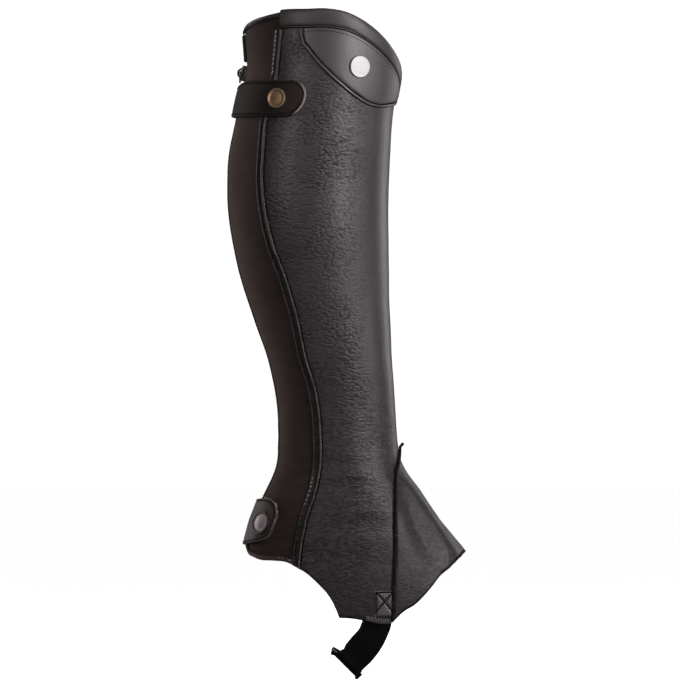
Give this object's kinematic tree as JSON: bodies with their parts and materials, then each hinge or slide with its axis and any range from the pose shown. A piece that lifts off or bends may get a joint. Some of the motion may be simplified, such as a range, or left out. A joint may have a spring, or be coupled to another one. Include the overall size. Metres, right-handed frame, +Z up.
{
  "type": "half chap",
  "caption": "Leather half chap for the lower leg, shaped as worn: open tube with back zip, snap tabs, flared instep gusset and elastic strap under the foot.",
  "frame": {"origin": "middle of the fullest calf section, inside the hollow, where the leg holds the chap", "axes": "+Z up the leg, +X forwards to the toe, -Y to the outer side that the picture shows"},
  "size_m": [0.1839, 0.12, 0.5137],
  "materials": {
    "grained_leather": "pebbled, semi-matte",
    "smooth_leather": "smooth, low sheen",
    "stretch_suede": "matt, fine nap",
    "tab_leather": "matt",
    "zip_tape": "woven",
    "zip_coil": "satin",
    "gunmetal": "dark plated",
    "brass": "aged",
    "silver": "satin",
    "elastic": "woven ribbed elastic"
  },
  "bodies": {
    "chap": {"main_panel": "grained_leather", "stretch_panel": "stretch_suede", "instep_gusset": "grained_leather", "knee_patch": "smooth_leather", "top_binding": "smooth_leather", "stretch_binding": "smooth_leather", "notch_facing_outer": "smooth_leather", "notch_facing_inner": "smooth_leather", "heel_binding": "stretch_suede", "seam_strip": "grained_leather", "welt_outer": "grained_leather", "welt_inner": "grained_leather", "upper_tab": "tab_leather", "lower_tab": "tab_leather", "zip_tape": "zip_tape", "zip_chain": "zip_coil", "zip_slider": "gunmetal", "upper_snap": "brass", "lower_snap": "gunmetal", "knee_stud": "silver", "foot_strap": "elastic"},
    "pull": {"zip_pull": "gunmetal"}
  },
  "joints": [
    {"name": "zip_pull_swing", "type": "hinge", "parent": "chap", "child": "pull", "pos_m": [-0.05225, 0, 0.08814], "axis": [0, 1, 0], "range_deg": [0, 140]}
  ]
}
